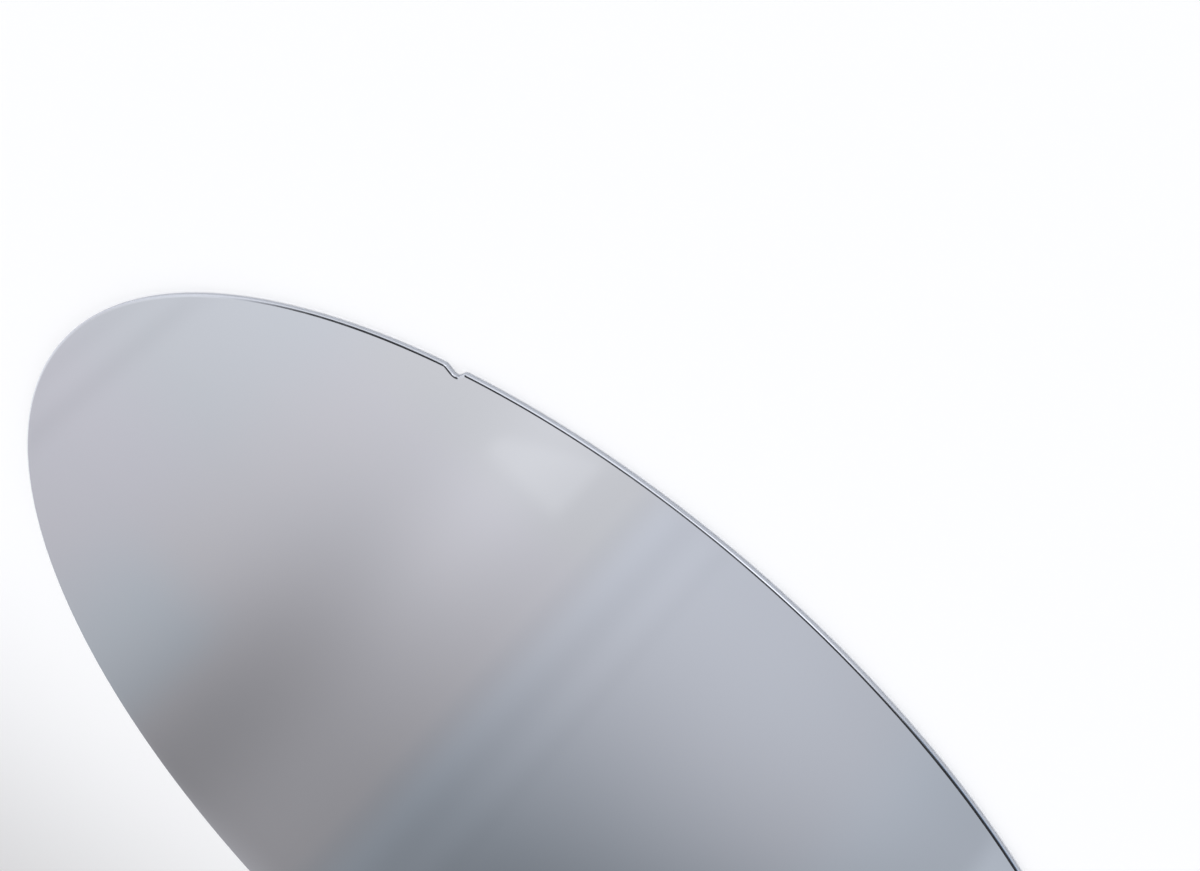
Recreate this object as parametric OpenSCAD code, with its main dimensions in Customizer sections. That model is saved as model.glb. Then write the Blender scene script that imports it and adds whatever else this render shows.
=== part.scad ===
// Silicon wafer, 200 mm, with an alignment notch.
// One disc sliced from a single crystal, ground to a rounded edge and polished.
// Lies flat: +Z out of the polished face, notch towards -Y, origin at the centre of the back.

/* [Wafer] */
// Diameter of the wafer
wafer_d = 200; // [150:5:220]
// Thickness between the back and the polished face
wafer_t = 0.725; // [0.675:0.025:0.775]

/* [Edge] */
// Width of the ground edge, from the rim in to where the flat face starts
edge_w = 0.35; // [0.3:0.01:0.4]
// Slope of the bevel against the face, in degrees
bevel_angle = 22; // [18:1:24]
// Radius of the arc that rounds the bevel into the rim
edge_r = 0.25; // [0.2:0.01:0.26]

/* [Notch] */
// Depth of the notch, from the rim circle to its bottom
notch_depth = 1.2; // [1:0.05:1.25]
// Angle between the two flanks, in degrees
notch_angle = 90; // [89:1:95]
// Radius of the notch bottom
bottom_r = 0.7; // [0.5:0.05:1]
// Radius of the shoulders, where the flanks run out into the rim
shoulder_r = 0.7; // [0.6:0.05:0.9]

/* [Hidden] */

wafer_r = wafer_d / 2;
half_t = wafer_t / 2;

// Edge section: bevel, arc, short upright apex, arc, bevel. Heights count from the mid-plane
bevel_foot = edge_r * (1 - sin(bevel_angle));               // inset at which bevel and arc meet
bevel_drop = (edge_w - bevel_foot) * tan(bevel_angle);      // how far the bevel falls below the face
arc_h = half_t - bevel_drop - edge_r * cos(bevel_angle);    // height of the arc's centre

// Notch outline in plan, right half: bottom arc, straight flank, shoulder arc
flank_angle = notch_angle / 2;                              // each flank against the notch's axis
bottom_y = -(wafer_r - notch_depth) - bottom_r;             // centre of the bottom arc, out in the air
shoulder_out = 0.005;                                       // the shoulder's circle reaches this far past the rim
flank_normal = [cos(flank_angle), sin(flank_angle)];        // from the air into the silicon
flank_run = [sin(flank_angle), -cos(flank_angle)];          // from the bottom out to the rim
// The shoulder's centre lies on a line beside the flank, at a set distance from the wafer's axis
line_start = [0, bottom_y] + (bottom_r + shoulder_r) * flank_normal;
start_run = line_start * flank_run;
centre_r = wafer_r - shoulder_r + shoulder_out;
flank_length = sqrt(start_run ^ 2 - line_start * line_start + centre_r ^ 2) - start_run;
shoulder_c = line_start + flank_length * flank_run;

// Strips of edge along the notch, and the full-thickness silicon that they frame
strip_w = (edge_w + shoulder_r) / 2;
frame_w = (edge_w + strip_w) / 2;
frame_tip = (bottom_r + frame_w) / sin(flank_angle);        // from the bottom arc's centre
cutter_l = 3 * frame_tip;                                   // block that the notch is taken from, along Y

silicon_grey = [0.72, 0.73, 0.77];
face_fn = 720;
edge_fn = 96;
arc_fn = 128;

// Section across the edge: x runs from the outermost point into the silicon, y up from the mid-plane
module edge_section(width) {
    top = [[width, half_t], [edge_w, half_t], [bevel_foot, half_t - bevel_drop], [edge_r, arc_h], [0, arc_h]];
    base = [for (i = [len(top) - 1:-1:0]) [top[i].x, -top[i].y]];
    union() {
        polygon(concat(top, base));
        for (h = [-arc_h, arc_h])
            translate([edge_r, h]) circle(edge_r, $fn = edge_fn);
    }
}

// The full round disc, before the notch is ground
module disc() {
    rotate_extrude($fn = face_fn)
        translate([wafer_r, 0]) mirror([1, 0]) edge_section(wafer_r);
}

// Bottom of the notch: the edge section swept round the hollow of the V
module notch_bottom() {
    translate([0, bottom_y]) rotate(flank_angle)
        rotate_extrude(angle = 180 - notch_angle, $fn = arc_fn)
            translate([bottom_r, 0]) edge_section(frame_tip);
}

// Right flank: the edge section run straight from the bottom arc to the shoulder
module notch_flank() {
    translate([0, bottom_y]) rotate(flank_angle) rotate([90, 0, 0])
        linear_extrude(flank_length) translate([bottom_r, 0]) edge_section(strip_w);
}

// Right shoulder: the edge section turned about the shoulder's centre, from the flank out past the rim
module notch_shoulder() {
    translate([0, bottom_y]) rotate(flank_angle)
        translate([bottom_r + shoulder_r, -flank_length]) rotate(180)
            rotate_extrude(angle = 90, $fn = arc_fn)
                translate([shoulder_r, 0]) mirror([1, 0]) edge_section(strip_w);
}

// Full-thickness silicon behind the strips
module notch_frame() {
    lip = shoulder_c - (shoulder_r - frame_w) * flank_normal;
    side = shoulder_c.x + shoulder_r;
    right = [[side, bottom_y + cutter_l], [side, lip.y], lip];
    left = [for (p = [right[2], right[1], right[0]]) [-p.x, p.y]];
    linear_extrude(wafer_t, center = true)
        polygon(concat(right, [[0, bottom_y + frame_tip]], left));
}

// The space of the notch: a block between the shoulders less the silicon round the notch
module notch_space() {
    difference() {
        translate([0, bottom_y]) linear_extrude(2 * wafer_t, center = true)
            square([2 * shoulder_c.x, cutter_l], center = true);
        notch_frame();
        notch_bottom();
        for (side = [0, 1]) mirror([side, 0, 0]) {
            notch_flank();
            notch_shoulder();
        }
    }
}

module wafer() {
    color(silicon_grey) translate([0, 0, half_t])
        difference() {
            disc();
            notch_space();
        }
}

wafer();
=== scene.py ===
import math

import bpy
import numpy as np
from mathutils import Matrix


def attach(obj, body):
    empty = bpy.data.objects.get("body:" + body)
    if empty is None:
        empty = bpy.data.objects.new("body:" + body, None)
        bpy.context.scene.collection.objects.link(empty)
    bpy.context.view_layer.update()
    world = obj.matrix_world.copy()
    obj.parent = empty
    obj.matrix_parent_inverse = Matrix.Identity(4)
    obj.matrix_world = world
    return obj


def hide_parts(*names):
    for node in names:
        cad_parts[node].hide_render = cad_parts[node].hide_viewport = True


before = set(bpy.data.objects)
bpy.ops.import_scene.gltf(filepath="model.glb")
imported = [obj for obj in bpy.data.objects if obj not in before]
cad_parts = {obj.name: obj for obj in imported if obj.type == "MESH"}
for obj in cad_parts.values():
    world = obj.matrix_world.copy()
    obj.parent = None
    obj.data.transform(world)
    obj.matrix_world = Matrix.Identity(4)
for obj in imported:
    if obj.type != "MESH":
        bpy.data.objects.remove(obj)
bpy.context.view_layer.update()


# --------------------------------------------------------------------------------------
# The wafer: one slice of single-crystal silicon. A profiled wheel grinds the rounded edge
# and the notch, acid etches the whole slice bright, and the front is polished to a mirror.
# --------------------------------------------------------------------------------------

wafer_radius = 0.1  # all sizes are in metres
thickness = 0.000725

edge_width = 0.00035  # ground edge, from the rim in to the flat faces
bevel_angle = math.radians(22)  # slope of the bevel against the face
edge_radius = 0.00025  # arc between bevel and rim
soft_corner = 0.00001  # half the width over which polishing softens the bevel's corners

notch_depth = 0.0012
flank_angle = math.radians(45)  # each flank against the notch's axis
bottom_radius = 0.0007
shoulder_radius = 0.0007

arc_steps = 12
rim_steps = 720


def arc(centre, radius, start, end, steps):
    """Points on a circle from angle start to angle end, and the directions from its centre.

    point = centre + radius * (cos, sin).
    """
    angle = np.linspace(start, end, steps + 1)
    away = np.stack([np.cos(angle), np.sin(angle)], axis=1)
    return centre + radius * away, away


def wafer_outline():
    """Outline of the wafer in plan, anticlockwise from the notch's bottom, with inward normals.

    Bottom arc about a centre outside the rim, flank along the common tangent, shoulder arc
    inside the rim circle and touching it, then the rim, and the same mirrored in X.
    """
    bottom = np.array([0, notch_depth - wafer_radius - bottom_radius])
    into_silicon = np.array([math.cos(flank_angle), math.sin(flank_angle)])
    along_flank = np.array([math.sin(flank_angle), -math.cos(flank_angle)])
    # The shoulder's centre: beside the flank, one shoulder radius in from the rim circle
    start = bottom + (bottom_radius + shoulder_radius) * into_silicon
    reach = start @ along_flank
    gap = start @ start - (wafer_radius - shoulder_radius) ** 2
    shoulder = start + (math.sqrt(reach**2 - gap) - reach) * along_flank
    meets_rim = math.atan2(shoulder[1], shoulder[0])

    hollow, hollow_in = arc(bottom, bottom_radius, math.pi / 2, flank_angle, arc_steps)
    corner, corner_out = arc(
        shoulder, shoulder_radius, flank_angle - math.pi, meets_rim, arc_steps
    )
    side = np.concatenate([hollow, corner])
    side_in = np.concatenate([hollow_in, -corner_out])
    rim, rim_out = arc(0, wafer_radius, meets_rim, math.pi - meets_rim, rim_steps)
    mirrored = slice(None, 0, -1)  # back again, without the bottom's own point
    points = np.concatenate([side, rim[1:-1], side[mirrored] * [-1, 1]])
    inward = np.concatenate([side_in, -rim_out[1:-1], side_in[mirrored] * [-1, 1]])
    return points, inward


def edge_section():
    """Section of the edge from the polished face round to the back, as inset and height.

    Each corner of the bevel is softened between two points, with one more on either side
    that keeps the face and the bevel flat. The lower half mirrors the upper one.
    """
    foot = edge_radius * (1 - math.sin(bevel_angle))
    drop = (edge_width - foot) * math.tan(bevel_angle)
    round_z = thickness - drop - edge_radius * math.cos(bevel_angle)
    inset = edge_width + soft_corner * np.array([3, 1, -1, -3])
    corner = np.stack(
        [inset, thickness - np.clip(edge_width - inset, 0, None) * math.tan(bevel_angle)],
        axis=1,
    )
    rounded, _ = arc(
        np.array([edge_radius, round_z]),
        edge_radius,
        math.pi / 2 + bevel_angle,
        math.pi,
        arc_steps,
    )
    upper = np.concatenate([corner, rounded])
    lower = (upper * [1, -1] + [0, thickness])[::-1]
    return np.concatenate([upper, lower])


def wafer_mesh():
    """The closed skin of the wafer: centre of the front, face, edge, back, centre of the back.

    Each ring is the outline moved inwards by the section's inset and set at its height. On
    the flat faces the innermost ring shrinks to the centre.
    """
    outline, inward = wafer_outline()
    section = edge_section()
    edge = np.empty((len(section), len(outline), 3))
    edge[:, :, :2] = outline + section[:, 0, None, None] * inward
    edge[:, :, 2] = section[:, 1, None]
    half_way = np.array([0.5, 0.5, 1])
    rings = np.concatenate([edge[:1] * half_way, edge, edge[-1:] * half_way])
    count, around = rings.shape[:2]

    here = np.arange(count * around).reshape(count, around)
    there = np.roll(here, -1, axis=1)
    quads = np.stack([here[:-1], here[1:], there[1:], there[:-1]], axis=-1).reshape(-1, 4)
    front_centre = np.full(around, count * around)
    back_centre = front_centre + 1
    top = np.stack([front_centre, here[0], there[0]], axis=-1)
    under = np.stack([back_centre, there[-1], here[-1]], axis=-1)

    vertices = np.concatenate([rings.reshape(-1, 3), [[0, 0, thickness], [0, 0, 0]]])
    mesh = bpy.data.meshes.new("wafer_skin")
    mesh.from_pydata(vertices, [], quads.tolist() + top.tolist() + under.tolist())

    # Finishes by material slot. On each side the fan and the next two bands of quads are flat
    on_front, on_edge, on_back = 0, 1, 2
    flat = 2 * around
    bands = np.full(len(quads), on_edge)
    bands[:flat], bands[-flat:] = on_front, on_back
    fans = np.repeat([on_front, on_back], around)
    finish = np.concatenate([bands, fans]).astype(np.int32)
    mesh.polygons.foreach_set("material_index", finish)
    mesh.polygons.foreach_set("use_smooth", np.ones(len(finish), dtype=bool))
    mesh.update()
    return mesh


def maths(tree, operation, *values):
    """A Math node on sockets or plain numbers. Returns its result."""
    node = tree.nodes.new("ShaderNodeMath")
    node.operation = operation
    for socket, value in zip(node.inputs, values):
        if isinstance(value, bpy.types.NodeSocket):
            tree.links.new(value, socket)
        else:
            socket.default_value = value
    return node.outputs[0]


def ramp(tree, value, low, high, at_low=0.0, at_high=1.0):
    """A soft step: at_low below low, at_high above high, with a smooth S between them."""
    node = tree.nodes.new("ShaderNodeMapRange")
    node.interpolation_type = "SMOOTHSTEP"
    tree.links.new(value, node.inputs["Value"])
    for name, number in (
        ("From Min", low),
        ("From Max", high),
        ("To Min", at_low),
        ("To Max", at_high),
    ):
        node.inputs[name].default_value = number
    return node.outputs[0]


def blend(tree, factor, first, second):
    """A colour that goes from first to second as factor goes from 0 to 1."""
    node = tree.nodes.new("ShaderNodeMix")
    node.data_type = "RGBA"
    tree.links.new(factor, node.inputs["Factor"])
    for name, value in (("A", first), ("B", second)):
        socket = next(s for s in node.inputs if s.name == name and s.type == "RGBA")
        if isinstance(value, bpy.types.NodeSocket):
            tree.links.new(value, socket)
        else:
            socket.default_value = (*value, 1)
    return next(s for s in node.outputs if s.type == "RGBA")


def speckle(tree, place, size, detail=2.0):
    """Soft noise from 0 to 1 on the given coordinates, with blotches about size metres wide."""
    node = tree.nodes.new("ShaderNodeTexNoise")
    node.inputs["Scale"].default_value = 1 / size
    node.inputs["Detail"].default_value = detail
    tree.links.new(place, node.inputs["Vector"])
    return node.outputs["Fac"]


def silicon(name):
    """A new bare-silicon material. Returns it with its tree, shader and object coordinates."""
    material = bpy.data.materials.new(name)
    material.use_nodes = True
    tree = material.node_tree
    shader = tree.nodes["Principled BSDF"]
    shader.inputs["Metallic"].default_value = 1.0
    place = tree.nodes.new("ShaderNodeTexCoord").outputs["Object"]
    return material, tree, shader, place


def across(tree, place):
    """Distance from the wafer's axis."""
    flat = tree.nodes.new("ShaderNodeVectorMath")
    flat.operation = "MULTIPLY"
    flat.inputs[1].default_value = (1, 1, 0)
    tree.links.new(place, flat.inputs[0])
    length = tree.nodes.new("ShaderNodeVectorMath")
    length.operation = "LENGTH"
    tree.links.new(flat.outputs[0], length.inputs[0])
    return length.outputs["Value"]


speckled = (0.3, 0.7)  # nearly all of a speckle's values lie between these

# Polished front: a blue-grey mirror, with a breath of polishing haze in wide soft patches
# and in the last millimetres, where the pad rolls over the edge
front_tints = (0.468, 0.496, 0.556), (0.482, 0.504, 0.562)
haze_width = 0.03
roll_off = (0.0965, 0.0998)  # distances from the axis between which the pad's haze builds up

front, tree, shader, place = silicon("polished_silicon")
haze = speckle(tree, place, haze_width)
tree.links.new(blend(tree, haze, *front_tints), shader.inputs["Base Color"])
polish = ramp(tree, haze, *speckled, 0.02, 0.035)
rolled = ramp(tree, across(tree, place), *roll_off, 0, 0.03)
tree.links.new(maths(tree, "ADD", polish, rolled), shader.inputs["Roughness"])

# Ground edge: fine grinding lines that run round the rim, softened by the etch
edge_tints = (0.46, 0.485, 0.54), (0.52, 0.54, 0.59)
line_length = 0.0016
line_fineness = 40  # how much shorter a line is upwards than along the rim

edge, tree, shader, place = silicon("ground_edge")
stretch = tree.nodes.new("ShaderNodeMapping")
stretch.inputs["Scale"].default_value = (1, 1, line_fineness)
tree.links.new(place, stretch.inputs["Vector"])
lines = speckle(tree, stretch.outputs["Vector"], line_length, 3.0)
tree.links.new(blend(tree, lines, *edge_tints), shader.inputs["Base Color"])
tree.links.new(ramp(tree, lines, *speckled, 0.12, 0.2), shader.inputs["Roughness"])

# Etched back: bright but not a mirror, with the shallow dimples that acid leaves
back_tints = (0.40, 0.42, 0.46), (0.46, 0.48, 0.52)
dimple_width = 0.0012
dimple_depth = 0.000006
cloud_width = 0.018

back, tree, shader, place = silicon("etched_back")
dimples = speckle(tree, place, dimple_width, 1.0)
clouds = speckle(tree, place, cloud_width)
tree.links.new(blend(tree, clouds, *back_tints), shader.inputs["Base Color"])
etched = ramp(tree, dimples, *speckled, 0.2, 0.28)
clouded = ramp(tree, clouds, *speckled, 0, 0.08)
tree.links.new(maths(tree, "ADD", etched, clouded), shader.inputs["Roughness"])
relief = tree.nodes.new("ShaderNodeBump")
relief.inputs["Distance"].default_value = dimple_depth
relief.inputs["Strength"].default_value = 0.6
tree.links.new(dimples, relief.inputs["Height"])
tree.links.new(relief.outputs["Normal"], shader.inputs["Normal"])

wafer = bpy.data.objects.new("wafer_skin", wafer_mesh())
bpy.context.collection.objects.link(wafer)
for finish in (front, edge, back):
    wafer.data.materials.append(finish)
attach(wafer, "root")
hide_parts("wafer")


# --------------------------------------------------------------------------------------
# The floor: a plain white sheet that the wafer lies on. Behind the wafer its colour fades to a
# soft grey of painted shade, and further out it is white again.
# --------------------------------------------------------------------------------------

floor_half = 3.0
floor_gap = 0.00001  # between the wafer's back and the sheet
sheet_white = (0.86, 0.86, 0.865)
# Painted shade: the sheet's colour turns grey behind the wafer and white again further out
painted_shade_grey = (0.52, 0.517, 0.52)
painted_shade_span = (-0.01, 0.2)  # the sheet fades to grey over this stretch of Y
white_again = (0.4, 1.4)  # and back to white between these distances from the wafer's axis
lift = 0.18  # what the camera and mirrors see on top of the light that falls on the sheet

corners = floor_half * np.array([[-1, -1, 0], [1, -1, 0], [1, 1, 0], [-1, 1, 0]])
sheet = bpy.data.meshes.new("floor")
sheet.from_pydata(corners - [0, 0, floor_gap], [], [[0, 1, 2, 3]])
floor = bpy.data.objects.new("floor", sheet)
bpy.context.collection.objects.link(floor)

paper = bpy.data.materials.new("white_sheet")
paper.use_nodes = True
tree = paper.node_tree
tree.nodes.clear()
place = tree.nodes.new("ShaderNodeTexCoord").outputs["Object"]
spot = tree.nodes.new("ShaderNodeSeparateXYZ")
tree.links.new(place, spot.inputs[0])
# Painted shade: where the grey covers the sheet's colour
behind = ramp(tree, spot.outputs["Y"], *painted_shade_span)
near = ramp(tree, across(tree, place), *white_again, 1, 0)
painted_shade = maths(tree, "MULTIPLY", behind, near)
diffuse = tree.nodes.new("ShaderNodeBsdfDiffuse")
tree.links.new(blend(tree, painted_shade, sheet_white, painted_shade_grey), diffuse.inputs["Color"])
glow = tree.nodes.new("ShaderNodeEmission")
rays = tree.nodes.new("ShaderNodeLightPath").outputs
seen = maths(tree, "MAXIMUM", rays["Is Camera Ray"], rays["Is Glossy Ray"])
seen = maths(tree, "MAXIMUM", seen, rays["Is Transmission Ray"])
tree.links.new(maths(tree, "MULTIPLY", seen, lift), glow.inputs["Strength"])
both = tree.nodes.new("ShaderNodeAddShader")
tree.links.new(diffuse.outputs[0], both.inputs[0])
tree.links.new(glow.outputs[0], both.inputs[1])
output = tree.nodes.new("ShaderNodeOutputMaterial")
tree.links.new(both.outputs[0], output.inputs["Surface"])
sheet.materials.append(paper)


# --------------------------------------------------------------------------------------
# The light: a pale room. White walls stand all round under a dark ceiling, in which two wide
# soft lamps hang behind the camera. On the far side the wall has a shaded stretch with a
# window, a dark post and a few slats, which the mirror shows.
# --------------------------------------------------------------------------------------

world = bpy.data.worlds.new("pale_room")
bpy.context.scene.world = world
world.use_nodes = True
tree = world.node_tree

# Directions in degrees: height above the floor, and heading from +Y towards +X
rays_out = tree.nodes.new("ShaderNodeTexCoord").outputs["Generated"]
direction = tree.nodes.new("ShaderNodeSeparateXYZ")
tree.links.new(rays_out, direction.inputs[0])
height = maths(tree, "DEGREES", maths(tree, "ARCSINE", direction.outputs["Z"]))
heading = maths(
    tree, "DEGREES", maths(tree, "ARCTAN2", direction.outputs["X"], direction.outputs["Y"])
)


def times(*factors):
    """The product of all factors, in the room's own nodes."""
    product = factors[0]
    for factor in factors[1:]:
        product = maths(tree, "MULTIPLY", product, factor)
    return product


def plus(*terms):
    """The sum of all terms, in the room's own nodes."""
    total = terms[0]
    for term in terms[1:]:
        total = maths(tree, "ADD", total, term)
    return total


def mix(share, first, second):
    """first where share is 0, second where it is 1: first * (1 - share) + second * share."""
    rest = maths(tree, "SUBTRACT", 1, share)
    return plus(times(first, rest), times(second, share))


def band(value, low, high, soft):
    """1 between low and high, fading to 0 over the width soft at either side."""
    rise = ramp(tree, value, low - soft, low + soft)
    painted_shade = ramp(tree, value, high - soft, high + soft, 1, 0)
    return times(rise, painted_shade)


def peak(value, centre, width):
    """1 at centre, falling off as a bell: e to the power of minus (distance / width) squared."""
    away = maths(tree, "DIVIDE", plus(value, -centre), width)
    return maths(tree, "EXPONENT", times(away, away, -1))


def away_from(heading_there, height_there):
    """The angle in degrees between each ray and a fixed direction: arccosine of their dot."""
    turn, rise = math.radians(heading_there), math.radians(height_there)
    node = tree.nodes.new("ShaderNodeVectorMath")
    node.operation = "DOT_PRODUCT"
    tree.links.new(rays_out, node.inputs[0])
    node.inputs[1].default_value = (
        math.sin(turn) * math.cos(rise),
        math.cos(turn) * math.cos(rise),
        math.sin(rise),
    )
    return maths(tree, "DEGREES", maths(tree, "ARCCOSINE", node.outputs["Value"]))


# Far wall, as the polished front shows it: in shade low down on its left, where the edge of
# the shade leans, and paler on its right. Further left it darkens into a corner, with a
# bright opening beyond
shade_lean = -0.126  # degrees of height for each degree of heading
shade_pivot = 24
leaning = plus(height, times(plus(heading, -shade_pivot), shade_lean))
left = ramp(tree, leaning, 20.9, 31.7, 0.1, 0.91)
right = ramp(tree, height, 5, 40.5, 0.574, 1.39)
shade = mix(ramp(tree, heading, 13.6, 44.4), left, right)
corner = plus(ramp(tree, heading, 14.5, 17.5, -0.08, 0), ramp(tree, heading, 16, 22, -0.065, 0))
opening = ramp(tree, heading, 13.6, 14.3, 0.12, 0)

# In it a narrow window under a sloping lintel, its glow on the wall below, and a dark post
sill = ramp(tree, height, 29.9, 30.5)
lintel = ramp(tree, plus(height, times(heading, 0.5)), 46.5, 47.1, 1, 0)
window = times(band(heading, 29.4, 32.2, 0.3), sill, lintel, 0.085)
window_glow = times(peak(heading, 31.1, 1.6), ramp(tree, height, 23, 30), 0.115)
post = times(peak(heading, 32.4, 2.3), ramp(tree, height, 20, 30.5, -0.2, 0))

# Thin upright slats left of the window and two thin dark rails right of it
slat_pitch, first_slat = 1.4, 25.65
slat_wave = maths(tree, "COSINE", times(plus(heading, -first_slat), 2 * math.pi / slat_pitch))
slats = plus(times(slat_wave, band(heading, 24.8, 28.2, 0.3), 0.022), 1)
rail_width = 0.35
both_rails = plus(peak(heading, 40.95, rail_width), peak(heading, 42.05, rail_width))
rails = plus(times(both_rails, -0.055), 1)
far_wall = times(plus(shade, corner, opening, window, window_glow, post), slats, rails)

# The rest of the room: white walls all round, with a greyer stretch behind the camera and a
# dim blue-grey flag to the left
grey_stretch = times(band(heading, -173, -160, 6), -0.42)
flag_share = times(band(heading, -119, -66, 4), ramp(tree, height, 44, 52, 1, 0))
flag = times(flag_share, ramp(tree, height, 8, 34, -0.3, -0.8))
walls = times(plus(ramp(tree, height, 18, 40, 1.26, 1.38), grey_stretch), plus(flag, 1))

# Above them the ceiling is dark, but for one wide round lamp behind the camera, a smaller and
# brighter one to its left, and a faint glow opposite
wide_lamp = ramp(tree, away_from(178, 59), 24, 42, 1.75, 0.05)
bright_lamp = times(peak(away_from(-138, 58), 0, 14), 1.3)
faint_glow = times(peak(away_from(25, 62), 0, 10), 0.25)
room = mix(ramp(tree, height, 37, 46), walls, plus(wide_lamp, bright_lamp, faint_glow))
far_share = times(band(heading, -14, 66, 10), band(height, 18, 37, 1.5))
light = mix(far_share, room, far_wall)

# Its colour: cool in the deepest shade, a touch warm round the window, blue over the flag,
# neutral elsewhere
plain = (1.0, 1.0, 1.015)
cool = (0.94, 1.0, 1.05)
corner_cool = (0.962, 1.0, 1.03)
warm = (1.045, 1.0, 0.985)
under_window = (0.97, 1.0, 1.015)
window_white = (1.03, 1.0, 0.965)
pale_low = (1.04, 1.0, 1.01)
pale_high = (1.005, 1.0, 0.99)
dusk = (0.8, 1.0, 1.25)
left_tone = blend(tree, ramp(tree, height, 22, 29), cool, plain)
left_tone = blend(tree, ramp(tree, heading, 16, 19), corner_cool, left_tone)
low_tone = blend(tree, ramp(tree, heading, 33, 34.5), warm, under_window)
middle_tone = blend(tree, ramp(tree, height, 21.5, 23.5), low_tone, warm)
middle_tone = blend(tree, ramp(tree, height, 29, 30.5), middle_tone, window_white)
right_tone = blend(tree, ramp(tree, height, 23.5, 26.5), pale_low, pale_high)
tone = blend(tree, ramp(tree, heading, 26.8, 28.4), left_tone, middle_tone)
tone = blend(tree, ramp(tree, heading, 35.5, 39), tone, right_tone)
tone = blend(tree, far_share, blend(tree, flag_share, plain, dusk), tone)
background = tree.nodes["Background"]
tree.links.new(tone, background.inputs["Color"])
tree.links.new(light, background.inputs["Strength"])


# --------------------------------------------------------------------------------------
# The camera: on the notch side, about 24 degrees above the polished face, and rolled so that
# the wafer hangs across the frame.
# --------------------------------------------------------------------------------------

camera = bpy.data.objects.new("camera", bpy.data.cameras.new("camera"))
bpy.context.collection.objects.link(camera)
camera.location = (-0.13482, -0.29618, 0.14412)
camera.rotation_euler = [math.radians(a) for a in (-48.786, 35.465, 176.845)]
camera.data.lens = 68.9
camera.data.sensor_width = 36
camera.data.clip_start = 0.01
bpy.context.scene.camera = camera
bpy.context.scene.view_settings.view_transform = "Standard"

bpy.context.view_layer.update()
